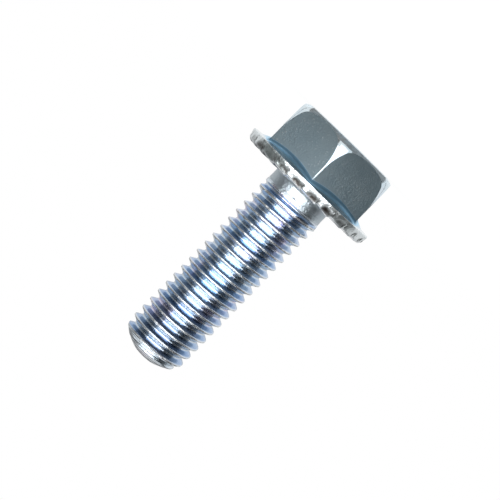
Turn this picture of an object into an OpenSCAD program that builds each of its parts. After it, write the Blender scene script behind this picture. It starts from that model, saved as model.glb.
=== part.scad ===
// Flange bolt with a toothed bearing face, standing on its head.
// Sizes are in millimetres. The flat top of the head is z = 0, and +Z runs
// along the axis to the tip. One corner of the hexagon faces -Y.

/* [Shank] */
// Crest diameter of the thread
thread_d = 7.9; // [7.76:0.01:7.97]
// Distance between two crests of the right-hand thread
pitch = 1.25; // [0.75:0.25:1.5]
// Diameter at the bottom of the thread
root_d = 6.5; // [6.3:0.05:6.8]
// Length from the bearing face to the tip
length = 25.4; // [16:0.1:60]
// Diameter of the plain neck under the flange
neck_d = 7.55; // [7.1:0.05:7.8]
// Length of the plain neck, measured from the bearing face
neck_length = 1.3; // [0.5:0.1:4]
// Turns over which the thread grows from the neck to its full depth
runout_turns = 1.8; // [0.5:0.1:3]
// Direction from the axis in which the thread line meets z = 0
thread_start_deg = 295; // [0:1:359]
// Radius of the hollow rounding between the neck and the bearing face
neck_round = 0.6; // [0.3:0.05:0.8]
// Length of the slightly tapered thread at the tip
tip_length = 2.3; // [1.6:0.1:4]
// Diameter where the taper meets the 45 degree chamfer
tip_d = 7.45; // [6.8:0.05:7.7]
// Diameter where the chamfer meets the blunt point
point_d = 6.5; // [5.5:0.1:6.7]
// Height of the blunt point
point_height = 0.8; // [0.3:0.1:1]
// Diameter of the flat end
end_d = 3.4; // [2.4:0.1:5]
// Width of the flat ring around the shallow hollow in the end
end_ring = 0.4; // [0.2:0.05:1]
// Depth of the shallow hollow in the end
end_dish = 0.15; // [0.05:0.05:0.4]

/* [Head] */
// Width across the flats of the hexagon
hex_flats = 12.85; // [12.7:0.05:13]
// Height from the top of the head to the bearing face
head_height = 7.4; // [6.6:0.1:8.1]
// Radius of the rounding around the top of the head
top_round = 1.6; // [0.5:0.1:2.5]
// How much of each hexagon corner is rounded away near the flange
corner_wear = 0.02; // [0.01:0.005:0.2]
// Radius of the slight bow of the corner edges
corner_bow = 35; // [20:1:80]
// Diameter of the flange
flange_d = 17.3; // [16.8:0.1:17.9]
// Thickness of the flange at its rim, teeth included
rim_height = 1.3; // [1:0.05:1.8]
// Slope of the cone between the hexagon and the lip
cone_deg = 25; // [15:1:30]
// Width of the nearly flat lip at the rim
lip_width = 1; // [0.5:0.05:1.5]
// Slope of that lip
lip_deg = 3; // [0:1:10]
// Height of the slanted lower edge of the rim
rim_chamfer = 0.3; // [0.1:0.05:0.5]
// Radius of the hollow rounding between the hexagon and the flange
collar_round = 0.6; // [0.2:0.05:0.9]

/* [Teeth] */
// Number of locking teeth under the flange
teeth = 24; // [12:1:36]
// Height of the teeth at the rim
tooth_height = 0.25; // [0.1:0.05:0.4]
// Inner diameter of the toothed ring
tooth_ring_d = 9.7; // [9:0.1:11]
// Depth of the notch that each tooth leaves in the rim
rim_notch = 0.17; // [0.05:0.01:0.3]
// Share of each tooth that is a flat land at its crest
tooth_land = 0.1; // [0.05:0.05:0.4]
// Turn of the teeth against the hexagon
teeth_turn_deg = 1.5; // [0:0.5:14.5]

/* [Hidden] */
round_fn = 96;
steps_per_turn = 36;
columns_per_face = 8;
collar_rows = 8;
// The collar dips this far into the cone, so that the two cross at an angle,
// and its inner side lies this far inside the head.
collar_sink = 0.03;
collar_inset = 0.4;
// Pieces that are joined run this far into each other, and cutting tools run
// this far past what they cut.
joint_lap = 1;
thread_r = thread_d / 2;
root_r = root_d / 2;
neck_r = neck_d / 2;
tip_z = head_height + length;
neck_z = head_height + neck_length;
// A 60 degree thread: its flats are an eighth and a quarter of the pitch.
crest_flat = pitch / 8;
root_flat = pitch - crest_flat - 2 * (thread_r - root_r) * tan(30);
// The groove starts this far past the plain neck, and is cut from this far
// outside the crests.
groove_start = 0.1;
groove_over = 0.12;
// Over this height the shank grows from the neck to the crests.
shoulder = 0.5;
groove_out_r = thread_r + groove_over;
groove_out_flat = root_flat + 2 * (groove_out_r - root_r) * tan(30);
corner_r = hex_flats / 2 / cos(30) - corner_wear;
rim_z = head_height - rim_height;
seat_z = head_height - tooth_height;
flange_r = flange_d / 2;
// The broken edge between lip and rim, and how far the rim leans inwards
// towards the teeth.
rim_edge = 0.08;
rim_draft = 0.12;
lip_r = flange_r - lip_width;
lip_z = rim_z - lip_width * tan(lip_deg);
cone_top_r = hex_flats / 2 - joint_lap;
cone_top_z = lip_z - (lip_r - cone_top_r) * tan(cone_deg);

steel = [0.72, 0.75, 0.78];

// Half section of a solid that rounds the hexagon from above: a large arc
// for the bowed corner edges, met by a small one around the top.
module head_section() {
    bow_x = corner_r - corner_bow;
    reach = corner_bow - top_round;
    round_x = bow_x + sqrt(reach * reach - pow(rim_z - top_round, 2));
    meet_z = rim_z - (rim_z - top_round) * corner_bow / reach;
    intersection() {
        translate([bow_x, rim_z]) circle(r = corner_bow, $fn = round_fn);
        union() {
            translate([0, meet_z]) square([corner_r, rim_z - meet_z]);
            square([round_x, rim_z]);
            intersection() {
                translate([round_x, top_round]) circle(r = top_round, $fn = round_fn);
                square([corner_r, top_round]);
            }
        }
    }
}

module hexagon_head() {
    intersection() {
        rotate([0, 0, 30]) cylinder(d = hex_flats / cos(30), h = rim_z, $fn = 6);
        rotate_extrude($fn = round_fn) head_section();
    }
}

// The hollow rounding between the six faces and the cone of the flange. Each
// column lies on a ray from the axis, so neighbouring faces meet in a mitre.
function cone_z(r) = lip_z - (lip_r - r) * tan(cone_deg);
function collar_point(share, row) =
    let (stretch = sqrt(1 + pow(share * tan(30), 2)), slope = atan(stretch * tan(cone_deg)))
    let (flat_u = hex_flats / 2, mid_u = flat_u + collar_round)
    let (mid_z = cone_z(stretch * mid_u) - collar_round / cos(slope) + collar_sink)
    let (turn = (90 - slope) * min(max(row - 1, 0), collar_rows - 3) / (collar_rows - 3))
    let (inner = row == 0 || row == collar_rows - 1)
    let (u = mid_u - collar_round * cos(turn) - (inner ? collar_inset : 0))
    let (z = mid_z + collar_round * sin(turn) + (row == collar_rows - 1 ? collar_inset / 2 : 0))
    [u, share * u * tan(30), z];
function collar_column(i) =
    let (face = floor(i / columns_per_face), share = 2 * (i / columns_per_face - face) - 1)
    [for (row = [0:collar_rows - 1]) let (p = collar_point(share, row), a = 60 * face)
        [p[0] * cos(a) - p[1] * sin(a), p[0] * sin(a) + p[1] * cos(a), p[2]]];

module collar() {
    columns = 6 * columns_per_face;
    polyhedron(
        points = [for (i = [0:columns - 1]) each collar_column(i)],
        faces = [for (i = [0:columns - 1]) for (k = [0:collar_rows - 1])
            let (a = collar_rows * i, b = collar_rows * ((i + 1) % columns))
            let (n = (k + 1) % collar_rows)
            each [[a + k, a + n, b + n], [a + k, b + n, b + k]]]
    );
}

// The flange before its teeth are cut: cone, lip, rim and bearing face.
module flange_blank() {
    rotate_extrude($fn = round_fn) polygon([
        [0, cone_top_z],
        [cone_top_r, cone_top_z],
        [lip_r, lip_z],
        [flange_r - rim_edge, rim_z - rim_edge / 2],
        [flange_r, rim_z + rim_edge / 2],
        [flange_r - rim_draft, head_height - rim_chamfer],
        [flange_r - rim_draft - rim_chamfer, head_height],
        [0, head_height]
    ]);
}

// Outline of the rim from below: each tooth swells from a notch to full size.
// Places are shares of a tooth, and each has its share of the notch's depth.
module rim_outline() {
    step = 360 / teeth;
    place = [0, 0.35, 0.7, 0.97];
    notch = [1, 0.45, 0.1, 0];
    polygon([for (i = [0:teeth - 1]) for (k = [0:3])
        let (a = step * (i + place[k]), r = flange_r - rim_notch * notch[k])
        [r * cos(a), r * sin(a)]]);
}

// What is cut away between two lands: a wedge that deepens to the next step.
module tooth_gap() {
    step = 360 / teeth * (1 - tooth_land);
    slope = atan(tooth_height / (flange_r * sin(step)));
    far = flange_r + joint_lap;
    intersection() {
        translate([0, 0, -joint_lap]) linear_extrude(2 * joint_lap) polygon([
            [0, 0],
            [far, 0],
            [far * cos(step), far * sin(step)]
        ]);
        rotate([-slope, 0, 0]) cube([far, far, 2 * joint_lap]);
    }
}

module flange() {
    difference() {
        intersection() {
            flange_blank();
            rotate([0, 0, teeth_turn_deg]) linear_extrude(head_height + joint_lap) rim_outline();
        }
        difference() {
            translate([0, 0, head_height]) rotate([0, 0, teeth_turn_deg])
                for (i = [0:teeth - 1]) rotate([0, 0, 360 / teeth * (i + tooth_land)]) tooth_gap();
            cylinder(d = tooth_ring_d, h = head_height + joint_lap, $fn = round_fn);
        }
        translate([0, 0, seat_z]) cylinder(d = tooth_ring_d, h = joint_lap, $fn = round_fn);
    }
}

// Half section of the shank over its crests, with the hollow rounding under
// the head, the plain neck, the tapered first turns and the blunt point.
module shank_section() {
    foot_r = neck_r + neck_round;
    foot_z = seat_z + neck_round;
    difference() {
        polygon([
            [0, rim_z],
            [foot_r, rim_z],
            [foot_r, foot_z],
            [neck_r, foot_z],
            [neck_r, neck_z],
            [thread_r, neck_z + shoulder],
            [thread_r, tip_z - tip_length],
            [tip_d / 2, tip_z - point_height - (tip_d - point_d) / 2],
            [point_d / 2, tip_z - point_height],
            [end_d / 2, tip_z],
            [0, tip_z]
        ]);
        translate([foot_r, foot_z]) circle(r = neck_round, $fn = round_fn);
    }
}

// The thread groove as one helical solid. Near the neck it climbs out of the
// shank, as the groove of a rolled thread does.
function groove_z(i) = neck_z + groove_start + pitch * i / steps_per_turn;
function groove_lift(i) =
    (groove_out_r - root_r) * max(0, 1 - i / steps_per_turn / runout_turns);
function groove_deg(i) = thread_start_deg + 360 * (groove_z(i) - pitch / 2) / pitch;
function groove_ring(i) = let (a = groove_deg(i), z = groove_z(i), up = groove_lift(i))
    [for (c = [[0, -1], [0, 1], [1, 1], [1, -1]])
        let (r = c[0] == 0 ? root_r + up : groove_out_r + up)
        let (half = (c[0] == 0 ? root_flat : groove_out_flat) / 2)
        [r * cos(a), r * sin(a), z + c[1] * half]];

module thread_groove() {
    n = ceil((tip_z + pitch - neck_z) / pitch * steps_per_turn);
    polyhedron(
        points = [for (i = [0:n]) each groove_ring(i)],
        faces = concat(
            [[0, 1, 2, 3]],
            [for (i = [0:n - 1]) for (k = [0:3])
                let (a = 4 * i + k, b = 4 * i + (k + 1) % 4)
                each [[a, a + 4, b + 4], [a, b + 4, b]]],
            [[4 * n + 3, 4 * n + 2, 4 * n + 1, 4 * n]]
        )
    );
}

module shank() {
    hollow_r = end_d / 2 - end_ring;
    ball_r = (hollow_r * hollow_r + end_dish * end_dish) / (2 * end_dish);
    difference() {
        rotate_extrude($fn = round_fn) shank_section();
        thread_groove();
        translate([0, 0, tip_z + ball_r - end_dish]) sphere(r = ball_r, $fn = 3 * round_fn);
    }
}

module flange_bolt() {
    color(steel) union() {
        hexagon_head();
        collar();
        flange();
        shank();
    }
}

flange_bolt();
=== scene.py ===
import math
import bpy
import numpy as np
from mathutils import Matrix, Vector


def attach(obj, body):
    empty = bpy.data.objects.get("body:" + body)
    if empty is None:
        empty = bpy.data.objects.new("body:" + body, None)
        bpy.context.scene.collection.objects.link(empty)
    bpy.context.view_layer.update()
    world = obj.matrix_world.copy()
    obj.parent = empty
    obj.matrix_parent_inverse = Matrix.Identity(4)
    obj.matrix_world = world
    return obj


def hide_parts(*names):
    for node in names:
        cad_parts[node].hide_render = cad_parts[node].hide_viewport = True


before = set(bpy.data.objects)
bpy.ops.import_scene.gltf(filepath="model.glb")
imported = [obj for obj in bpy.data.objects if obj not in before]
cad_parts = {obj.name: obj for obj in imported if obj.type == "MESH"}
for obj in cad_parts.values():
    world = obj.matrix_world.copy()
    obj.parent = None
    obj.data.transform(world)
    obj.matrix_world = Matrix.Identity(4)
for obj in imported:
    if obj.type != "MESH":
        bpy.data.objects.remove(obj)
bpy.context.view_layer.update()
mm = 0.001
tiny = 1e-6   # in millimetres, or as a share of a tooth


def addObject(name, data):
    made = bpy.data.objects.new(name, data)
    bpy.context.scene.collection.objects.link(made)
    return made


# Camera: lengths in millimetres, angles in degrees. The bolt stands on its head, and in the picture
# it leans over, because the camera is turned about its line of sight.
view = {
    "side": 269,         # direction from the axis; 270 looks straight at a corner of the hexagon
    "distance": 149.3,   # from the axis
    "height": 2.5,       # above the top of the head, which is the floor
    "sideStep": 0.338,   # to the right of the axis
    "climb": 5.24,       # how far the line of sight climbs towards the tip
    "lean": 44.26,       # turn of the camera about its line of sight
    "lens": 97.4,
    "sensor": 36,
    "near": 10,
    "far": 20000,
}


# A level direction, counted in degrees from +X.
def sideways(degrees):
    angle = math.radians(degrees)
    return Vector((math.cos(angle), math.sin(angle), 0))


def makeCamera():
    toCamera = sideways(view["side"])
    up = Vector((0, 0, 1))
    right = toCamera.cross(up)
    climb = math.radians(view["climb"])
    lean = math.radians(view["lean"])
    backward = toCamera * math.cos(climb) - up * math.sin(climb)
    down = up * math.cos(climb) + toCamera * math.sin(climb)
    pictureRight = right * math.cos(lean) - down * math.sin(lean)
    pictureDown = right * math.sin(lean) + down * math.cos(lean)
    data = bpy.data.cameras.new("camera")
    data.lens = view["lens"]
    data.sensor_width = view["sensor"]
    data.clip_start = view["near"] * mm
    data.clip_end = view["far"] * mm
    camera = addObject("camera", data)
    turn = Matrix((pictureRight, -pictureDown, backward)).transposed().to_4x4()
    place = (toCamera * view["distance"] + right * view["sideStep"] + up * view["height"]) * mm
    camera.matrix_world = Matrix.Translation(place) @ turn
    bpy.context.scene.camera = camera


makeCamera()
print("camera set")


# softMin is the smaller of two values with the change from one to the other rounded over a width.
def softMin(a, b, width):
    share = np.clip(0.5 + 0.5 * (b - a) / width, 0, 1)
    return b * (1 - share) + a * share - width * share * (1 - share)


def softMax(a, b, width):
    return -softMin(-a, -b, width)


# ease goes from 0 at low to 1 at high without a kink. band rises so between its first two edges and
# falls again between its last two.
def ease(x, low, high):
    share = np.clip((x - low) / (high - low), 0, 1)
    return share * share * (3 - 2 * share)


def band(x, edges):
    return ease(x, *edges[:2]) * (1 - ease(x, *edges[2:]))


# Even steps from 0 up to 1, without the 0.
def shares(count):
    return np.linspace(0, 1, count + 1)[1:]


# A lattice is a grid of points, rows by columns, that closes around its columns. Its first and last
# rows shrink to one point each. Faces point outwards when the rows run up the axis outside.
def latticeMesh(name, points, marks):
    rows, columns = points.shape[:2]
    inner = points[1:-1].reshape(-1, 3)
    coordinates = np.vstack([points[:1, 0], inner, points[-1:, 0]]) * mm
    index = 1 + np.arange((rows - 2) * columns).reshape(rows - 2, columns)
    after = np.roll(index, -1, axis=1)
    quads = np.stack([index[:-1], after[:-1], after[1:], index[1:]], axis=-1).reshape(-1, 4)
    last = len(coordinates) - 1
    first = np.stack([np.zeros(columns, int), after[0], index[0]], axis=-1)
    final = np.stack([np.full(columns, last), index[-1], after[-1]], axis=-1)
    flat = {key: np.concatenate([value[:1, 0], value[1:-1].ravel(), value[-1:, 0]])
            for key, value in marks.items()}
    return makeMesh(name, coordinates, quads, np.vstack([first, final]), flat)


# Each mark becomes an attribute with a value at every point, which the material reads.
def makeMesh(name, coordinates, quads, triangles, marks):
    mesh = bpy.data.meshes.new(name)
    corners = np.concatenate([quads.ravel(), triangles.ravel()]).astype(np.int32)
    sizes = np.concatenate([np.full(len(quads), 4), np.full(len(triangles), 3)])
    starts = np.concatenate([[0], np.cumsum(sizes)[:-1]]).astype(np.int32)
    mesh.vertices.add(len(coordinates))
    mesh.vertices.foreach_set("co", coordinates.astype(np.float32).ravel())
    mesh.loops.add(len(corners))
    mesh.loops.foreach_set("vertex_index", corners)
    mesh.polygons.add(len(sizes))
    mesh.polygons.foreach_set("loop_start", starts)
    mesh.update(calc_edges=True)
    mesh.validate()
    for key, value in marks.items():
        attribute = mesh.attributes.new(key, "FLOAT", "POINT")
        attribute.data.foreach_set("value", value.astype(np.float32))
    mesh.shade_smooth()
    return addObject(name, mesh)


# Head and flange, in millimetres and degrees. Places along a tooth are shares of it, and start at its
# steep step.
head = {
    "flats": 12.85,          # across the flats of the hexagon
    "height": 7.4,           # from the top of the head to the lands of the teeth
    "topRound": 1.6,         # radius around the top
    "chipBand": (0.01, 0.06, 0.35, 0.6),   # heights between which the top edge is chipped
    "cornerWear": 0.02,      # taken off the radius at the corners
    "cornerBow": 16,         # radius of the bow of the corner edges, and the height where it starts
    "bowZ": 4.4,
    "flange": 17.3,
    "rimHeight": 1.3,
    "lipWidth": 1,           # of the flatter lip around the cone
    "lipSlope": 3,
    "coneSlope": 25,
    "collarRound": 0.6,
    "collarGap": 0.03,       # least distance from the end of the corner edge to the collar
    "hollowShare": 0.45,     # of the collar's rounding, over which its colour stays dark as painted shade
    "rimEdge": ((0.035, 0.004, 1), (0.01, 0.02, 0.5), (0, 0.055, 0)),   # inwards, up, share of the lip
    "rimDraft": 0.12,        # how far the rim draws in towards the teeth
    "rimChamfer": 0.3,
    "rimBulge": 0.05,        # how far the chamfer swells
    "teeth": 24,
    "toothHeight": 0.25,
    "toothRing": 9.7,        # inner diameter of the toothed ring
    "toothLand": 0.1,        # flat share of a tooth at its crest, and the share of its step
    "toothStep": 0.034,
    "toothTurn": 1.5,        # direction of the first step
    "rampAtRim": 0.6,        # how much of the ramp is left where the chamfer meets the rim
    "rimNotch": 0.17,        # depth of the notch at each step, and how it runs out along the tooth
    "notchPlace": (0, 0.35, 0.7, 0.97, 1),
    "notchShare": (1, 0.45, 0.1, 0, 0),
    "edgeNotch": 0.3,        # how much of the notch is left at the lip
    "stepPlace": (0, 0.03, 0.07, 0.93, 0.97, 1),    # of the painted shadow line at the step
    "stainPlace": (0, 0.08, 0.16, 0.84, 0.92, 1),   # of the painted shade beside it on the rim
    "nearStep": (1, 1, 0, 0, 1, 1),
    "scoopDepth": 0.12,      # hollow pressed into the rim behind each step
    "scoopPlace": 0.31,      # its middle, and its half sizes
    "scoopHalf": 0.37,
    "scoopHeight": 0.62,
    "scoopEdge": (0, 0.35),  # depths over which its painted shade fades in, and its darker painted core
    "coreEdge": (0.2, 0.6),
    "coreRise": (0.5, 0.8),  # shares of the way from lip to teeth over which the core's painted shade begins, the painted shade at the step, and the draft with the notch
    "stainRise": (0.3, 0.6),   # the stain at the step,
    "draftRise": (0.15, 1),    # and the draft with the notch
    "scoopShare": (0.3, 0.8, 1.2, 0.9, 0.3, 0.2, 0.6, 1.1, 1.3, 0.7, 0.3, 0,    # how deep each one is, and how dark its painted shade
                   0, 0, 0, 0.5, 1.6, 1.1, 1.0, 0.7, 0.15, 0.9, 0.3, 0.1),
    # Directions around the rim, and how much it is rubbed grey there.
    "wearPlace": (0, 30, 50, 90, 100, 150, 160, 190, 214, 222, 236, 243, 287, 292, 318, 324, 360),
    "wearShare": (0, 0, 0.6, 0.6, 0, 0, 0.8, 0, 0, 0.6, 0.6, 0, 0, 1, 1, 0, 0),
    "ringWall": 0.1,         # width of the wall between the teeth and the recessed ring
    "wallEdge": (0.3, 0.05), # its upper row: share of the way in and down, and how many widths it sags
    "wallFoot": (0.5, 0.2),  # its lower row: widths inwards, and above the ring
    "seatRows": (4.2, 3.5),  # radii of the recessed ring's inner rows, which the shank covers
    "seatDip": 0.3,          # how far into the flange they close on the axis
    # How many rows of points each part has, or at which shares of it they lie.
    "envelopeSteps": (60, 80),   # points around the top, and along the corner edge
    "topRows": (0, 0.35, 0.7, 0.9, 0.97),
    "edgeRows": 19,              # evenly down to the first of these shares, then at the others
    "edgeEnd": (0.97, 0.99, 1),
    "flatRows": 12,
    "collarRows": 8,
    "coneRows": 4,
    "lipRows": (0.25, 0.5, 0.7, 0.85, 0.93),
    "rimRows": 14,
    "chamferRows": (0.3, 0.6, 0.85, 1),
    "toothRows": 12,
    "columns": 720,
    "sharpAngle": 19,
}


# The hexagon is a turned envelope cut by six flats. The envelope's radius is found for each height on
# two arcs: one around the top and one that bows the corner edges. Each column follows the envelope to
# the height where it meets the flat, and then the flat down to the collar, so that a row of points
# lies on that edge all round.
def headPoints():
    half = head["flats"] / 2
    height = head["height"]
    rimZ = height - head["rimHeight"]
    cornerR = half / math.cos(math.radians(30)) - head["cornerWear"]
    bow, bowZ, top = head["cornerBow"], head["bowZ"], head["topRound"]
    roundX = cornerR - bow + math.sqrt((bow - top) ** 2 - (bowZ - top) ** 2)
    meet = bowZ - (bowZ - top) * bow / (bow - top)
    topSteps, bowSteps = head["envelopeSteps"]
    sweep = np.linspace(0, math.acos((top - meet) / top), topSteps)
    lowR = roundX + top * np.sin(sweep)
    lowZ = top * (1 - np.cos(sweep))
    highZ = np.linspace(meet, rimZ, bowSteps)[1:]
    highR = cornerR - bow + np.sqrt(bow ** 2 - np.maximum(bowZ - highZ, 0) ** 2)
    edgeR = np.concatenate([lowR, highR])
    edgeZ = np.concatenate([lowZ, highZ])
    run = np.concatenate([[0], np.cumsum(np.hypot(np.diff(edgeR), np.diff(edgeZ)))])

    angle = np.linspace(0, 2 * math.pi, head["columns"], endpoint=False)
    fromFlat = (angle + math.pi / 6) % (math.pi / 3) - math.pi / 6
    stretch = 1 / np.cos(fromFlat)
    wallR = half * stretch

    coneRise = math.tan(math.radians(head["coneSlope"]))
    slope = np.arctan(stretch * coneRise)
    lipR = head["flange"] / 2 - head["lipWidth"]
    lipZ = rimZ - head["lipWidth"] * math.tan(math.radians(head["lipSlope"]))
    hollow = head["collarRound"]
    midU = half + hollow
    midZ = lipZ - (lipR - stretch * midU) * coneRise - hollow / np.cos(slope)

    edgeEnd = np.minimum(np.interp(wallR, edgeR, edgeZ), midZ - head["collarGap"])
    runEnd = np.interp(edgeEnd, edgeZ, run)
    rowsR, rowsZ = [], []
    marks = {key: [] for key in (
        "topMark", "flatMark", "collarMark", "hollowMark", "lipMark", "rimMark", "wearMark", "scoopMark",
        "coreMark", "stepMark", "toothMark", "ringMark")}

    def addRow(r, z, **given):
        rowsR.append(r + 0 * angle)
        rowsZ.append(z + 0 * angle)
        for key, rows in marks.items():
            rows.append(given.get(key, 0.0) + 0 * angle)

    for share in head["topRows"]:
        addRow(roundX * share, 0)
    evenEnd, *lastShares = head["edgeEnd"]
    for share in (*np.linspace(0, evenEnd, head["edgeRows"]), *lastShares):
        r = np.interp(runEnd * share, run, edgeR)
        z = np.interp(runEnd * share, run, edgeZ)
        onTop = band(z, head["chipBand"]) * (share < 1)
        addRow(np.minimum(r, wallR), z, flatMark=float(share == 1), topMark=onTop)
    for share in shares(head["flatRows"]):
        addRow(np.minimum(wallR, cornerR), edgeEnd + (midZ - edgeEnd) * share, flatMark=1.0)
    # The collar rows carry a bluer colour, which is painted shade of the light bouncing in the concave
    # fillet, darkest deep in it.
    for share in shares(head["collarRows"]):
        turn = (math.pi / 2 - slope) * share
        addRow(stretch * (midU - hollow * np.cos(turn)), midZ + hollow * np.sin(turn),
               collarMark=1.0, hollowMark=1 - ease(share, head["hollowShare"], 1))
    collarR, collarZ = rowsR[-1], rowsZ[-1]
    for share in shares(head["coneRows"]):
        addRow(collarR + (lipR - collarR) * share, collarZ + (lipZ - collarZ) * share,
               collarMark=1 - share)

    # Around the rim. Each tooth starts at a steep step with a notch in the rim, and swells from there.
    tooth = 2 * math.pi / head["teeth"]
    fromTurn = (angle - math.radians(head["toothTurn"])) / tooth + tiny
    along = fromTurn % 1
    number = fromTurn.astype(int) % head["teeth"]
    notch = head["rimNotch"] * np.interp(along, head["notchPlace"], head["notchShare"])
    edgeNotch = head["rimNotch"] * head["edgeNotch"] * (1 + np.cos(2 * math.pi * along)) / 2
    fullR = head["flange"] / 2
    rimR = fullR - edgeNotch
    for share in head["lipRows"]:
        addRow(lipR + (rimR - lipR) * share, lipZ + (rimZ - lipZ) * share, lipMark=1.0)
    for inwards, up, lipShare in head["rimEdge"]:
        addRow(rimR - inwards, rimZ + up, rimMark=1 - lipShare, lipMark=lipShare)
    rimTop = rimZ + head["rimEdge"][-1][1]
    chamfer = head["rimChamfer"]
    lowR = fullR - notch - head["rimDraft"]
    underR = lowR - chamfer
    flatEnd = head["toothLand"]
    ramp = np.clip((along - flatEnd) / (1 - flatEnd - head["toothStep"]), 0, 1)
    deep = head["toothHeight"] * ramp
    underZ = height - deep * underR / fullR
    chamferZ = height - chamfer - head["rampAtRim"] * deep

    # A scoop is half of a hollow ball, stretched along the tooth and up the rim.
    across = (along - head["scoopPlace"]) / head["scoopHalf"]
    scoopShare = np.array(head["scoopShare"])[number]
    hollows = head["scoopDepth"] * scoopShare
    stained = np.clip(scoopShare, 0, 1)
    wear = np.interp(np.degrees(angle), head["wearPlace"], head["wearShare"])
    atStep = np.interp(along, head["stainPlace"], head["nearStep"])

    # Painted shade in each scoop, and a darker painted core low in it.
    def stains(inScoop):
        return ease(inScoop, *head["scoopEdge"]) * stained, ease(inScoop, *head["coreEdge"]) * stained

    for share in shares(head["rimRows"]):
        z = rimTop + (chamferZ - rimTop) * share
        up = (z - height + chamfer) / head["scoopHeight"]
        inScoop = np.clip(1 - across ** 2 - up ** 2, 0, 1)
        r = rimR + (lowR - rimR) * ease(share, *head["draftRise"]) - hollows * np.sqrt(inScoop)
        scoop, core = stains(inScoop)
        # Painted shade in the notch beside each step, growing down the rim.
        scoop = np.maximum(scoop, atStep * ease(share, *head["stainRise"]))
        core = core * ease(share, *head["coreRise"])
        addRow(r, z, rimMark=1.0, wearMark=wear, scoopMark=scoop, coreMark=core)
    inScoop = np.clip(1 - across ** 2, 0, 1)
    # On the chamfer too: painted shade in the scoops and beside the steps.
    scoop, core = stains(inScoop)
    scoop = np.maximum(scoop, atStep)
    for share in head["chamferRows"]:
        bulge = head["rimBulge"] * math.sin(math.pi * share)
        left = 1 - share
        r = lowR - chamfer * share + bulge - hollows * np.sqrt(inScoop) * left
        addRow(r, chamferZ + (underZ - chamferZ) * share + bulge, rimMark=left, wearMark=wear,
               scoopMark=scoop * left, coreMark=core * left, toothMark=share)

    # Under the flange, from the rim inwards: the teeth, the wall inside them and the recessed ring.
    ringR = head["toothRing"] / 2
    # Painted shadow line along each tooth's step.
    step = np.interp(along, head["stepPlace"], head["nearStep"])
    for share in shares(head["toothRows"]):
        r = underR + (ringR - underR) * share
        addRow(r, height - deep * r / fullR, toothMark=1.0, stepMark=step)
    seatZ = height - head["toothHeight"]
    innerZ = height - deep * ringR / fullR
    wall = head["ringWall"]
    edge, sag = head["wallEdge"]
    foot, above = head["wallFoot"]
    addRow(ringR - edge * wall, innerZ - edge * (innerZ - seatZ) - sag * wall, toothMark=0.5, ringMark=0.5)
    addRow(ringR - foot * wall, seatZ + above * wall, ringMark=1.0)
    for r in (ringR - wall, *head["seatRows"]):
        addRow(r, seatZ, ringMark=1.0)
    addRow(0, seatZ - head["seatDip"], ringMark=1.0)

    r, z = np.array(rowsR), np.array(rowsZ)
    points = np.stack([r * np.cos(angle), r * np.sin(angle), z], axis=-1)
    return points, {key: np.array(rows) for key, rows in marks.items()}


# Shank, in millimetres and degrees. Four numbers are a band, in which something fades in and out again.
# Where a depth or a tone varies along the thread, its two numbers are its middle and its spread.
shank = {
    "pitch": 1.25,
    "crestR": 3.93,
    "rootR": 3.25,
    "halfCrest": 0.075,
    "flankAngle": 30,
    "sharpCrest": 0.03,   # how far the flanks would run on past the crest
    "crestRound": 0.05,
    "rootRound": 0.22,
    "crestLine": 295,     # direction in which the crest line meets z = 0
    "neckR": 3.78,
    "seatZ": 7.15,
    "neckRound": 0.6,
    "footDip": 0.05,      # how far the foot of the shank reaches into the flange, and how far out
    "footOut": 0.02,
    "crestRise": (8.5, 9.9),   # heights between which the neck widens to the crests
    "neckZ": 8.35,        # where the groove starts
    "runOut": 2.2,        # height over which it reaches its full depth
    "runOver": 0.1,       # how far it starts outside the crests
    "taperZ": 30.5,
    "taperR": 3.725,
    "chamferZ": 31.525,
    "pointZ": 32.0,
    "pointR": 3.25,
    "taperBow": 0.03,
    "pointBow": 0.08,
    "endZ": 32.79,
    "endR": 1.7,
    "endRing": 0.4,
    "endDish": 0.15,
    "seamPlace": 0.055,   # of the seam that the rolled crest leaves, from its middle towards the tip
    "seamWidth": 0.03,
    "seamDepth": 0.07,
    "seamVaries": (0.75, 0.3),
    "seamSway": 0.008,
    "seamBand": (8.9, 9.7, 31.2, 31.9),
    "crestWidth": 0.09,
    "nickDepth": 0.05,    # of the small dents in the crest, and how rare and how deep they are
    "nickLevel": 1.1,
    "nickMost": 1.2,
    "startPlace": -0.12,  # of the shallow line above the groove, from the crest's middle
    "startWidth": 0.05,
    "startDepth": 0.04,
    "startVaries": (0.8, 0.3),
    "startTone": (0.6, 0.8),
    "startBand": (8.2, 8.4, 9.1, 9.4),
    "pointLines": 4,      # fine lines in one pitch around the point, and their depth; painted shade darkens them
    "pointDepth": 0.06,
    "lineSharp": 3,       # power that narrows their painted shade
    "lineBand": (31.3, 31.7, 32.2, 32.6),
    "neckFade": (8.7, 9.3),      # heights over which the neck's look ends, the painted dark reflection on the flanks near the tip begins, and the look of the end begins
    "farFade": (20, 30),         # the darker flanks near the tip begin,
    "endFade": (31.225, 32.2),   # and the look of the end begins
    "middleFade": (0.7, 1.9),    # radii over which the flecks in the middle of the end fade out
    "flankBand": (0.05, 0.16, 0.46, 0.6),   # the painted shade on the flank, from the crest towards the head
    # how strongly that painted shade shows: its middle and its spread along the thread
    "flankTone": (0.5, 0.25),
    "roughSeed": 11,      # of the random numbers along the thread, with the width in columns that
    "roughWidth": 1.5,    # each is averaged over
    "nickSeed": 12,
    "nickWidth": 1.0,
    "toneSeed": 13,
    "toneWidth": 40,
    "columns": 144,       # in one turn
    # Rows of points across one pitch: from where to where, and how many, on crest, flank, root, flank.
    "acrossRows": ((-0.10, 0.12, 10), (0.12, 0.45, 4), (0.45, 0.80, 7), (0.80, 1.15, 4)),
    # How finely the path is divided: in the foot, up the shank, on each part of the tip, in the dish.
    "footSteps": 24,
    "bodySteps": 200,
    "tipSteps": 23,
    "dishSteps": 16,
    "sharpAngle": 50,
}


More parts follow.
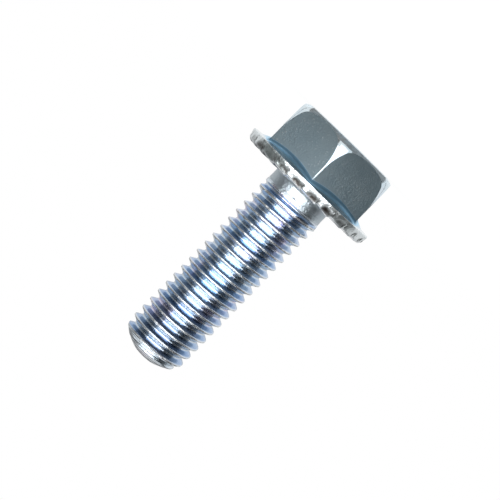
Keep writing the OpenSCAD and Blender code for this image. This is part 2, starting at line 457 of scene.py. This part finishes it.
# alongNoise is random numbers along the helix, each averaged with its neighbours over a bell of the
# given width in columns, which is cut off at four widths, and scaled to a spread of 1.
def alongNoise(count, seed, width):
    reach = int(4 * width) + 1
    bell = np.exp(-0.5 * (np.arange(-reach, reach + 1) / width) ** 2)
    noise = np.convolve(np.random.default_rng(seed).normal(size=count + 2 * reach), bell, mode="valid")
    return noise / np.std(noise)


# The middle of a value that varies along the thread, plus its spread times the noise.
def vary(key, noise):
    middle, spread = shank[key]
    return middle + spread * noise


# The outline of the shank without its thread, as radii and heights from the foot to the axis at the
# end: a hollow rounding, the neck, the crests, the taper, the point and the dish in its end.
def shankPath():
    foot = shank["neckR"] + shank["neckRound"]
    startZ = shank["seatZ"] - shank["footDip"]
    footZ = shank["seatZ"] + shank["neckRound"]
    low = np.linspace(startZ, footZ, shank["footSteps"])
    fillet = foot - np.sqrt(np.maximum(shank["neckRound"] ** 2 - (footZ - low) ** 2, 0))
    fillet = np.where(low < shank["seatZ"], foot + shank["footOut"], fillet)
    up = np.linspace(footZ, shank["taperZ"], shank["bodySteps"])[1:]
    z = [low, up]
    r = [fillet, shank["neckR"] + (shank["crestR"] - shank["neckR"]) * ease(up, *shank["crestRise"])]
    for low, high, fromR, toR, bow in (
            (shank["taperZ"], shank["chamferZ"], shank["crestR"], shank["taperR"], shank["taperBow"]),
            (shank["chamferZ"], shank["pointZ"], shank["taperR"], shank["pointR"], shank["taperBow"]),
            (shank["pointZ"], shank["endZ"], shank["pointR"], shank["endR"], shank["pointBow"])):
        share = shares(shank["tipSteps"])
        z.append(low + (high - low) * share)
        r.append(fromR + (toR - fromR) * share + bow * np.sin(math.pi * share))
    dish = np.linspace(1, 0, shank["dishSteps"])
    z.append(shank["endZ"] - shank["endDish"] * (1 - dish ** 2))
    r.append((shank["endR"] - shank["endRing"]) * dish)
    return np.concatenate(r), np.concatenate(z)


# The shank is one strip wound on a helix. A point has a turn and a place across one pitch. Their sum
# is its distance along a path that runs up the shank and over the end to the axis. The path gives the
# outer radius, the place across the pitch gives the radius of the groove, and the smaller one counts.
# A bell around a line that follows the crest gives the seam, and others the dents and the start line.
def shankPoints():
    pathR, pathZ = shankPath()
    steps = np.hypot(np.diff(pathR), np.diff(pathZ))
    upright = pathZ[1:] <= shank["pointZ"]
    length = pathZ[0] + np.concatenate([[0], np.cumsum(np.where(upright, np.diff(pathZ), steps))])
    pitch, columns = shank["pitch"], shank["columns"]
    across = np.concatenate([np.linspace(*rows, endpoint=False) for rows in shank["acrossRows"]])
    firstTurn = int(length[0] / pitch) - 1
    turns = int(math.ceil(length[-1] / pitch)) + 1 - firstTurn
    column = firstTurn * columns + np.arange(turns * columns + 1)
    along = column[:, None] / columns * pitch + across[None, :]
    lineAngle = math.radians(shank["crestLine"])
    angle = (column[:, None] / columns * 2 * math.pi + lineAngle) + 0 * along
    inside = np.clip(along, length[0], length[-1])
    outer = np.interp(inside, length, pathR)
    z = np.interp(inside, length, pathZ)
    fromCrest = z / pitch - (angle - lineAngle) / (2 * math.pi)
    fromCrest = pitch * (fromCrest - np.round(fromCrest))

    running = 1 - np.clip((z - shank["neckZ"]) / shank["runOut"], 0, 1)
    lift = (shank["crestR"] - shank["rootR"] + shank["runOver"]) * running
    sink = (np.abs(fromCrest) - shank["halfCrest"]) / math.tan(math.radians(shank["flankAngle"]))
    flank = shank["crestR"] + shank["sharpCrest"] - sink
    groove = softMax(flank, shank["rootR"] + 0 * flank, shank["rootRound"]) + lift
    r = softMin(outer, groove, shank["crestRound"])

    onThread = band(z, shank["seamBand"])
    rough = alongNoise(len(column), shank["roughSeed"], shank["roughWidth"])[:, None]
    tone = alongNoise(len(column), shank["toneSeed"], shank["toneWidth"])[:, None] + 0 * z
    nicks = alongNoise(len(column), shank["nickSeed"], shank["nickWidth"])[:, None]
    nicks = np.clip(nicks - shank["nickLevel"], 0, shank["nickMost"])
    fromSeam = fromCrest - shank["seamPlace"] - shank["seamSway"] * rough
    seam = np.exp(-(fromSeam / shank["seamWidth"]) ** 2)
    crest = np.exp(-(fromCrest / shank["crestWidth"]) ** 2)
    start = np.exp(-((fromCrest - shank["startPlace"]) / shank["startWidth"]) ** 2)
    start = start * band(z, shank["startBand"]) * np.clip(vary("startTone", tone), 0, 1)
    # The fine lines around the point are cut in a little and carry painted shade in their grooves.
    line = (1 + np.cos(2 * math.pi * shank["pointLines"] * fromCrest / pitch)) / 2
    line = line * band(z, shank["lineBand"])
    r = r - shank["seamDepth"] * seam * onThread * vary("seamVaries", rough)
    r = r - shank["nickDepth"] * crest * onThread * nicks
    r = r - shank["startDepth"] * start * vary("startVaries", rough)
    r = r - shank["pointDepth"] * line
    r = np.where((along <= length[0]) | (along >= length[-1]), 0, r)
    z = np.where(along <= length[0], length[0], z)
    points = np.stack([r * np.cos(angle), r * np.sin(angle), z], axis=-1)
    marks = {
        "seamMark": seam * onThread,
        "lineMark": line ** shank["lineSharp"],
        "crestMark": crest * onThread,
        # Painted shade on the flank that faces the head.
        "lowFlankMark": band(-fromCrest, shank["flankBand"]) * onThread,
        "turnMark": vary("flankTone", tone),
        "endMark": ease(z, *shank["endFade"]),
        "neckMark": 1 - ease(z, *shank["neckFade"]),
        # Painted dark reflection near the tip, on the sides towards +Y and -Y.
        "farMark": ease(z, *shank["farFade"]) * np.sin(angle) ** 2,
        "middleMark": 1 - ease(r, *shank["middleFade"]),
    }
    return points, marks


# Joins the strip to itself one turn further on, drops the faces that shrank away at both ends, and
# welds what is left there to one point.
def stripMesh(name, points, marks):
    columns = shank["columns"]
    turns, rows = points.shape[:2]
    index = np.arange(turns * rows).reshape(turns, rows)
    full = turns - columns
    wide = np.concatenate([index[:full], index[columns:columns + full, :1]], axis=1)
    quads = np.stack([wide[:-1, :-1], wide[1:, :-1], wide[1:, 1:], wide[:-1, 1:]], axis=-1).reshape(-1, 4)
    flatPoints = points.reshape(-1, 3)
    radius = np.hypot(flatPoints[:, 0], flatPoints[:, 1])
    middle = flatPoints[:, 2].mean()
    low = np.flatnonzero((radius < tiny) & (flatPoints[:, 2] < middle))
    high = np.flatnonzero((radius < tiny) & (flatPoints[:, 2] > middle))
    target = np.arange(len(flatPoints))
    target[low] = low[0]
    target[high] = high[0]
    quads = target[quads]
    distinct = (quads != np.roll(quads, -1, axis=1)).sum(axis=1)
    whole = quads[distinct == 4]
    part = quads[distinct == 3]
    keep = part != np.roll(part, -1, axis=1)
    triangles = part[keep].reshape(-1, 3)
    used = np.unique(np.concatenate([whole.ravel(), triangles.ravel()]))
    fresh = np.full(len(flatPoints), -1)
    fresh[used] = np.arange(len(used))
    flatMarks = {key: value.ravel()[used] for key, value in marks.items()}
    return makeMesh(name, flatPoints[used] * mm, fresh[whole], fresh[triangles], flatMarks)


headPiece = latticeMesh("head_and_flange", *headPoints())
headPiece.data.set_sharp_from_angle(angle=math.radians(head["sharpAngle"]))
print("head made", len(headPiece.data.polygons))
shankPiece = stripMesh("threaded_shank", *shankPoints())
shankPiece.data.set_sharp_from_angle(angle=math.radians(shank["sharpAngle"]))
print("shank made", len(shankPiece.data.polygons))


# Materials are zinc plate with a thin blue film. Colours are how much light the bare spot reflects, and
# sizes and heights are in millimetres. A patch is given by its size and the two levels of noise between
# which it fades in.
zinc = {
    "filmSize": 3.5,
    "filmThin": (0.4, 0.66),
    "filmTurned": (0.5, 0.68),
    "filmShift": (0.017, 0.031, 0.011),   # in metres, so that the lilac clouds lie elsewhere
    "roughness": 0.18,
    "noiseDetail": 3.0,
    "noiseRough": 0.6,
}
headFinish = {
    "filmBlue": (0.58, 0.7, 0.77),
    "filmPale": (0.68, 0.76, 0.8),
    "filmLilac": (0.68, 0.7, 0.78),
    "lilacShare": 0.3,
    "flat": (0.345, 0.458, 0.52),
    "flatCloud": (0.385, 0.495, 0.55),
    "flatRough": 0.37,
    "spark": (0.75, 0.8, 0.82),
    "sparkShare": 0.6,
    "grainHeight": 0.01,
    "chip": (0.76, 0.91, 1),
    "chipHeight": 0.02,
    # The collar's colours are painted shade of the light bouncing in the concave fillet, darker still
    # deeper in it.
    "collar": (0.45, 0.73, 0.93),
    "hollow": (0.18, 0.34, 0.48),
    "collarRough": 0.42,
    "lip": (0.74, 0.8, 0.83),
    "rimPale": (0.86, 0.92, 0.94),
    "rimWorn": (0.39, 0.45, 0.45),
    "wornLeast": 0.8,
    "rimSpot": (0.2, 0.2, 0.2),
    "spotShare": 0.6,
    "rimRough": 0.33,
    "lumpHeight": 0.035,
    "lumpOnTeeth": 0.4,
    # Painted shade in the scoops and notches of the rim, and its darker core.
    "scoop": (0.15, 0.16, 0.16),
    "scoopOnLumps": 0.6,
    "scoopRough": 0.15,      # added to that of the rim
    "core": (0.045, 0.032, 0.025),
    "coreOnLumps": 0.3,
    "tooth": (0.8, 0.83, 0.86),
    "toothFleck": (0.16, 0.22, 0.33),
    # Painted shadow line at each tooth's step, and how strongly it shows.
    "step": (0.1, 0.12, 0.15),
    "stepShare": 0.85,
    "ring": (0.3, 0.33, 0.35),
    "patch": {
        "cloud": (2.2, 0.35, 0.65),
        "grain": (0.22, 0.3, 0.7),
        "spark": (0.22, 0.6, 0.66),
        "sparkArea": (3.0, 0.46, 0.56),
        "chip": (0.6, 0.42, 0.56),
        "lump": (0.7, 0.3, 0.7),
        "spot": (0.45, 0.6, 0.68),
        "worn": (1.5, 0.42, 0.58),
        "fleck": (0.25, 0.58, 0.66),
        "fleckArea": (5.0, 0.42, 0.6),
    },
}
shankFinish = {
    "filmBlue": (0.62, 0.72, 0.8),
    "filmPale": (0.7, 0.77, 0.82),
    "filmLilac": (0.74, 0.67, 0.81),
    "lilacShare": 0.9,
    "crest": (0.86, 0.88, 0.89),
    "crestRough": 0.27,
    "seam": (0.08, 0.085, 0.09),
    "seamLeast": 0.1,        # what is left of its dark line where it is broken
    "seamRough": 0.2,
    # How dark the painted shade in the lines around the point is, in the seam's colour.
    "lineShare": 0.85,
    # Painted shade on the flank that faces the head, and a darker painted reflection on it near the tip.
    "lowFlank": (0.17, 0.32, 0.58),
    "lowFlankLeast": 0.6,
    "farFlank": (0.035, 0.06, 0.15),
    "neck": (0.41, 0.48, 0.52),
    "neckShare": 0.8,
    "neckRough": 0.34,
    "end": (0.78, 0.82, 0.86),
    "endShare": 0.6,
    "endFleck": (0.14, 0.17, 0.36),
    "fleckShare": 0.8,
    "pitHeight": 0.007,
    "neckPitHeight": 0.02,
    "patch": {
        "pit": (0.35, 0.35, 0.65),
        "seam": (0.8, 0.42, 0.52),
        "fleck": (0.35, 0.5, 0.58),
    },
}


def newMaterial(name):
    material = bpy.data.materials.new(name)
    material.use_nodes = True
    material.node_tree.nodes.clear()
    return material, material.node_tree


# Nodes: an input is given by its name or number, and is a value, a colour or another node's output.
def setInputs(tree, made, inputs):
    for key, value in inputs.items():
        if isinstance(value, bpy.types.NodeSocket):
            tree.links.new(value, made.inputs[key])
        else:
            made.inputs[key].default_value = (*value, 1) if isinstance(value, tuple) else value


def addNode(tree, kind, inputs, **settings):
    made = tree.nodes.new("ShaderNode" + kind)
    for key, value in settings.items():
        setattr(made, key, value)
    setInputs(tree, made, inputs)
    return made


def calc(tree, operation, first, second=0.0):
    return addNode(tree, "Math", {0: first, 1: second}, operation=operation).outputs[0]


def times(tree, first, second):
    return calc(tree, "MULTIPLY", first, second)


def mixColors(tree, share, low, high):
    return addNode(tree, "Mix", {0: share, 6: low, 7: high}, data_type="RGBA").outputs[2]


def mixValues(tree, share, low, high):
    return addNode(tree, "Mix", {0: share, 2: low, 3: high}).outputs[0]


def readMark(tree, name):
    return addNode(tree, "Attribute", {}, attribute_name=name).outputs["Fac"]


def useGroup(tree, group, inputs):
    made = tree.nodes.new("ShaderNodeGroup")
    made.node_tree = group
    setInputs(tree, made, inputs)
    return made.outputs


def newGroup(name, inputs, outputs):
    group = bpy.data.node_groups.new(name, "ShaderNodeTree")
    for key, kind in inputs.items():
        group.interface.new_socket(key, in_out="INPUT", socket_type="NodeSocket" + kind)
    for key, kind in outputs.items():
        group.interface.new_socket(key, in_out="OUTPUT", socket_type="NodeSocket" + kind)
    return group, group.nodes.new("NodeGroupInput").outputs, group.nodes.new("NodeGroupOutput").inputs


# Patches: noise of a size in millimetres, cut off softly between two levels.
def patchGroup():
    group, given, result = newGroup(
        "patches", {"Vector": "Vector", "Size": "Float", "Low": "Float", "High": "Float"},
        {"Mask": "Float"})
    scale = calc(group, "DIVIDE", 1 / mm, given["Size"])
    noise = addNode(group, "TexNoise", {
        "Vector": given["Vector"], "Scale": scale, "Detail": zinc["noiseDetail"],
        "Roughness": zinc["noiseRough"]})
    cut = addNode(group, "MapRange", {
        "Value": noise.outputs["Fac"], "From Min": given["Low"], "From Max": given["High"]},
        interpolation_type="SMOOTHSTEP")
    group.links.new(cut.outputs["Result"], result["Mask"])
    return group


# Film: the blue film is thinner and paler in clouds, and lilac in others.
def filmGroup(patches):
    group, given, result = newGroup(
        "film", {"Vector": "Vector", "Size": "Float", "Blue": "Color", "Pale": "Color", "Lilac": "Color",
                 "Shift": "Float"}, {"Color": "Color"})

    def cloud(where, levels):
        return useGroup(group, patches, {
            "Vector": where, "Size": given["Size"], "Low": levels[0], "High": levels[1]})["Mask"]

    turned = addNode(group, "Mapping", {"Vector": given["Vector"]})
    turned.inputs["Location"].default_value = zinc["filmShift"]
    pale = mixColors(group, cloud(given["Vector"], zinc["filmThin"]), given["Blue"], given["Pale"])
    share = times(group, cloud(turned.outputs[0], zinc["filmTurned"]), given["Shift"])
    group.links.new(mixColors(group, share, pale, given["Lilac"]), result["Color"])
    return group


patches = patchGroup()
film = filmGroup(patches)


def startZinc(name, look):
    material, tree = newMaterial(name)
    where = tree.nodes.new("ShaderNodeTexCoord").outputs["Object"]
    color = useGroup(tree, film, {
        "Vector": where, "Size": zinc["filmSize"], "Blue": look["filmBlue"], "Pale": look["filmPale"],
        "Lilac": look["filmLilac"], "Shift": look["lilacShare"]})["Color"]

    def masked(patch):
        size, low, high = look["patch"][patch]
        return useGroup(tree, patches, {"Vector": where, "Size": size, "Low": low, "High": high})["Mask"]

    return material, tree, color, masked


def finishZinc(material, tree, color, rough, height):
    bump = addNode(tree, "Bump", {"Height": height, "Strength": 1.0, "Distance": mm})
    shader = addNode(tree, "BsdfPrincipled", {
        "Base Color": color, "Roughness": rough, "Metallic": 1.0, "Normal": bump.outputs[0]})
    addNode(tree, "OutputMaterial", {"Surface": shader.outputs[0]})
    return material


# From the top of the head to the ring under the flange, each part's colour goes over the one before.
def headMaterial():
    look = headFinish
    material, tree, color, masked = startZinc("zinc_head", look)
    flat, collar, rim, tooth = (readMark(tree, name) for name in (
        "flatMark", "collarMark", "rimMark", "toothMark"))
    lumps = masked("lump")

    chips = times(tree, masked("chip"), readMark(tree, "topMark"))
    color = mixColors(tree, chips, color, look["chip"])
    clouds = mixColors(tree, masked("cloud"), look["flat"], look["flatCloud"])
    sparks = times(tree, masked("spark"), masked("sparkArea"))
    clouds = mixColors(tree, times(tree, sparks, look["sparkShare"]), clouds, look["spark"])
    color = mixColors(tree, flat, color, clouds)
    # The collar's bluer colour is painted shade of the concave fillet, and its hollow is darker painted
    # shade deeper in it.
    hollow = mixColors(tree, readMark(tree, "hollowMark"), look["collar"], look["hollow"])
    color = mixColors(tree, collar, color, hollow)
    color = mixColors(tree, readMark(tree, "lipMark"), color, look["lip"])

    worn = times(tree, readMark(tree, "wearMark"), mixValues(tree, masked("worn"), look["wornLeast"], 1.0))
    rimTone = mixColors(tree, worn, look["rimPale"], look["rimWorn"])
    rimTone = mixColors(tree, times(tree, masked("spot"), look["spotShare"]), rimTone, look["rimSpot"])
    color = mixColors(tree, rim, color, rimTone)
    # Painted shade in the scoops and in the notches at the steps, with a darker painted core low in each
    # scoop.
    dark = times(tree, readMark(tree, "scoopMark"), mixValues(tree, lumps, 1.0, look["scoopOnLumps"]))
    color = mixColors(tree, dark, color, look["scoop"])
    core = times(tree, readMark(tree, "coreMark"), mixValues(tree, lumps, 1.0, look["coreOnLumps"]))
    color = mixColors(tree, core, color, look["core"])

    flecks = times(tree, masked("fleck"), masked("fleckArea"))
    color = mixColors(tree, tooth, color, mixColors(tree, flecks, look["tooth"], look["toothFleck"]))
    # Painted shadow line along each tooth's step.
    color = mixColors(tree, times(tree, readMark(tree, "stepMark"), look["stepShare"]), color, look["step"])
    color = mixColors(tree, readMark(tree, "ringMark"), color, look["ring"])

    rough = mixValues(tree, flat, zinc["roughness"], look["flatRough"])
    rough = mixValues(tree, collar, rough, look["collarRough"])
    rough = mixValues(tree, rim, rough, look["rimRough"])
    rough = calc(tree, "ADD", rough, times(tree, dark, look["scoopRough"]))
    height = times(tree, times(tree, masked("grain"), look["grainHeight"]), flat)
    height = calc(tree, "ADD", height, times(tree, chips, look["chipHeight"]))
    lumpShare = calc(tree, "MAXIMUM", rim, times(tree, tooth, look["lumpOnTeeth"]))
    lumpHeight = times(tree, times(tree, lumps, look["lumpHeight"]), lumpShare)
    return finishZinc(material, tree, color, rough, calc(tree, "ADD", height, lumpHeight))


def shankMaterial():
    look = shankFinish
    material, tree, color, masked = startZinc("zinc_shank", look)
    seam, crest, lowFlank, end, neck = (readMark(tree, name) for name in (
        "seamMark", "crestMark", "lowFlankMark", "endMark", "neckMark"))

    # Painted shade on the flank that faces the head, varying at random along the thread, with a darker
    # painted reflection near the tip on the sides towards +Y and -Y.
    flank = mixColors(tree, readMark(tree, "farMark"), look["lowFlank"], look["farFlank"])
    flankShare = mixValues(tree, readMark(tree, "turnMark"), look["lowFlankLeast"], 1.0)
    color = mixColors(tree, times(tree, lowFlank, flankShare), color, flank)
    color = mixColors(tree, times(tree, neck, look["neckShare"]), color, look["neck"])
    color = mixColors(tree, crest, color, look["crest"])
    color = mixColors(tree, times(tree, end, look["endShare"]), color, look["end"])
    broken = times(tree, seam, mixValues(tree, masked("seam"), look["seamLeast"], 1.0))
    # Painted shade in the fine lines around the point, in the seam's dark colour.
    lines = times(tree, readMark(tree, "lineMark"), look["lineShare"])
    broken = calc(tree, "MAXIMUM", broken, lines)
    color = mixColors(tree, broken, color, look["seam"])
    flecks = times(tree, masked("fleck"), times(tree, end, readMark(tree, "middleMark")))
    color = mixColors(tree, times(tree, flecks, look["fleckShare"]), color, look["endFleck"])

    rough = mixValues(tree, crest, zinc["roughness"], look["crestRough"])
    rough = mixValues(tree, neck, rough, look["neckRough"])
    rough = calc(tree, "ADD", rough, times(tree, broken, look["seamRough"]))
    height = times(tree, masked("pit"), mixValues(tree, neck, look["pitHeight"], look["neckPitHeight"]))
    return finishZinc(material, tree, color, rough, height)


headPiece.data.materials.append(headMaterial())
shankPiece.data.materials.append(shankMaterial())
for piece in (headPiece, shankPiece):
    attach(piece, "root")
    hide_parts("flange_bolt")
print("materials set")


# Studio, in millimetres, degrees and watts. Directions are counted from the camera, and positive ones
# lie towards +X. A card gives its range of directions, its range of heights or of distances on the
# floor, and how bright it is in a reflection. The lamp is a low, wide softbox in front of the bolt.
studio = {
    "floor": 3000,
    "paper": 0.9,
    "paperGlow": 1.03,
    "glowShare": 0.9,
    "skyForDiffuse": 0.85,
    "lampRange": 420,
    "lampSide": 3,
    "lampWidth": 540,
    "lampHeight": 135,
    "lampWatts": 1.3,
    "cardRange": 260,
    "cardTop": 150,
    "cardSteps": 49,
    "cardLift": 0.15,        # of a card on the floor, and of the one that reaches the bolt
    "nearCardLift": 0.1,
    "ceilingShade": 0.28,
    "openingShade": 1,
    "openingRange": 105,
    "openingDrop": 1,        # below the ceiling
    "ceilingSides": 48,
    "uprightCards": {
        "front_top": (-46, 46, 92, 150, 0.5),
        "left_edge": (38, 52, 0.5, 150, 0.45),
        "left_dark": (52, 74, 0.5, 150, 0.05),
        "left_grey": (74, 100, 0.5, 150, 0.2),
        "right_dark": (-76, -33, 0.5, 150, 0.015),
        "right_grey": (-100, -76, 0.5, 150, 0.16),
        "back": (100, 260, 0.5, 150, 0.7),
    },
    "floorCards": {
        "floor_near": (-62, 62, 0, 7, 0.28),
        "floor_middle": (-4.5, 4.5, 7.5, 9.2, 2.6),
        "floor_front_near": (-8, 8, 9.2, 30, 2.6),
        "floor_left": (8, 60, 7, 24, 0.2),
        "floor_left_side": (60, 84, 11, 24, 0.2),
        "floor_right": (-60, -8, 7, 30, 0.14),
        "floor_right_side": (-80, -60, 11, 30, 0.14),
        "floor_front": (-40, 40, 30, 300, 2.6),
        "floor_far_left": (54, 100, 30, 255, 0.25),
        "floor_far_right": (-100, -45, 30, 255, 0.08),
    },
}


# 1 where the camera looks straight at something, or in a reflection or through glass, and 0 elsewhere.
def seenMask(tree):
    rays = tree.nodes.new("ShaderNodeLightPath").outputs
    seen = calc(tree, "MAXIMUM", rays["Is Camera Ray"], rays["Is Glossy Ray"])
    return calc(tree, "MAXIMUM", seen, rays["Is Transmission Ray"])


def makeFloor():
    size = studio["floor"] * mm
    mesh = bpy.data.meshes.new("floor")
    mesh.from_pydata([(-size, -size, 0), (size, -size, 0), (size, size, 0), (-size, size, 0)], [],
                     [(0, 1, 2, 3)])
    floor = addObject("floor", mesh)
    material, tree = newMaterial("floor_paper")
    paper = addNode(tree, "BsdfDiffuse", {"Color": (studio["paper"],) * 3})
    glow = addNode(tree, "Emission", {"Strength": studio["paperGlow"]})
    share = times(tree, seenMask(tree), studio["glowShare"])
    mix = addNode(tree, "MixShader", {0: share, 1: paper.outputs[0], 2: glow.outputs[0]})
    addNode(tree, "OutputMaterial", {"Surface": mix.outputs[0]})
    mesh.materials.append(material)


def makeWorld():
    world = bpy.data.worlds.new("white_room")
    world.use_nodes = True
    tree = world.node_tree
    tree.nodes.clear()
    strength = addNode(tree, "MapRange", {
        "Value": seenMask(tree), "To Min": studio["skyForDiffuse"], "To Max": 1.0})
    sky = addNode(tree, "Background", {"Color": (1.0, 1.0, 1.0), "Strength": strength.outputs["Result"]})
    addNode(tree, "OutputWorld", {"Surface": sky.outputs[0]})
    bpy.context.scene.world = world


# A card is a strip of a cylinder around the bolt, or of a ring on the floor. Only reflections see it.
def makeCard(name, start, end, innerEdge, outerEdge, shade, onFloor):
    steps = studio["cardSteps"]
    turn = np.radians(view["side"] + np.linspace(start, end, steps))
    ring = np.stack([np.cos(turn), np.sin(turn)], axis=-1)
    lift = studio["nearCardLift"] if innerEdge == 0 else studio["cardLift"]
    rows = []
    for edge in (innerEdge, outerEdge):
        r, z = (edge, lift) if onFloor else (studio["cardRange"], edge)
        rows.append(np.column_stack([ring * r, np.full(steps, z)]))
    faces = [(i, i + 1, steps + i + 1, steps + i) for i in range(steps - 1)]
    finishCard(name, np.vstack(rows), faces, shade)


# The ceiling is a level disc above the bolt, and its opening is a smaller one just below it.
def makeCeiling(name, edge, height, shade):
    sides = studio["ceilingSides"]
    turn = np.linspace(0, 2 * math.pi, sides, endpoint=False)
    points = np.column_stack([edge * np.cos(turn), edge * np.sin(turn), np.full(sides, height)])
    finishCard(name, points, [tuple(range(sides))], shade)


def finishCard(name, points, faces, shade):
    mesh = bpy.data.meshes.new(name)
    mesh.from_pydata((points * mm).tolist(), [], faces)
    card = addObject(name, mesh)
    material, tree = newMaterial(name)
    glow = addNode(tree, "Emission", {"Strength": shade})
    addNode(tree, "OutputMaterial", {"Surface": glow.outputs[0]})
    mesh.materials.append(material)
    card.visible_camera = False
    card.visible_shadow = False
    card.visible_diffuse = False


def makeLamp():
    data = bpy.data.lights.new("lamp", "AREA")
    data.shape = "RECTANGLE"
    data.size = studio["lampWidth"] * mm
    data.size_y = studio["lampHeight"] * mm
    data.energy = studio["lampWatts"]
    toLamp = sideways(view["side"] + studio["lampSide"])
    place = toLamp * studio["lampRange"] + Vector((0, 0, studio["lampHeight"] / 2))
    turn = toLamp.to_track_quat("Z", "Y").to_matrix().to_4x4()
    addObject("lamp", data).matrix_world = Matrix.Translation(place * mm) @ turn


makeFloor()
makeWorld()
for name, values in studio["uprightCards"].items():
    makeCard(name, *values, False)
for name, values in studio["floorCards"].items():
    makeCard(name, *values, True)
makeCeiling("ceiling", studio["cardRange"], studio["cardTop"], studio["ceilingShade"])
openingZ = studio["cardTop"] - studio["openingDrop"]
makeCeiling("ceiling_middle", studio["openingRange"], openingZ, studio["openingShade"])
makeLamp()
bpy.context.scene.view_settings.view_transform = "Standard"
print("studio set")
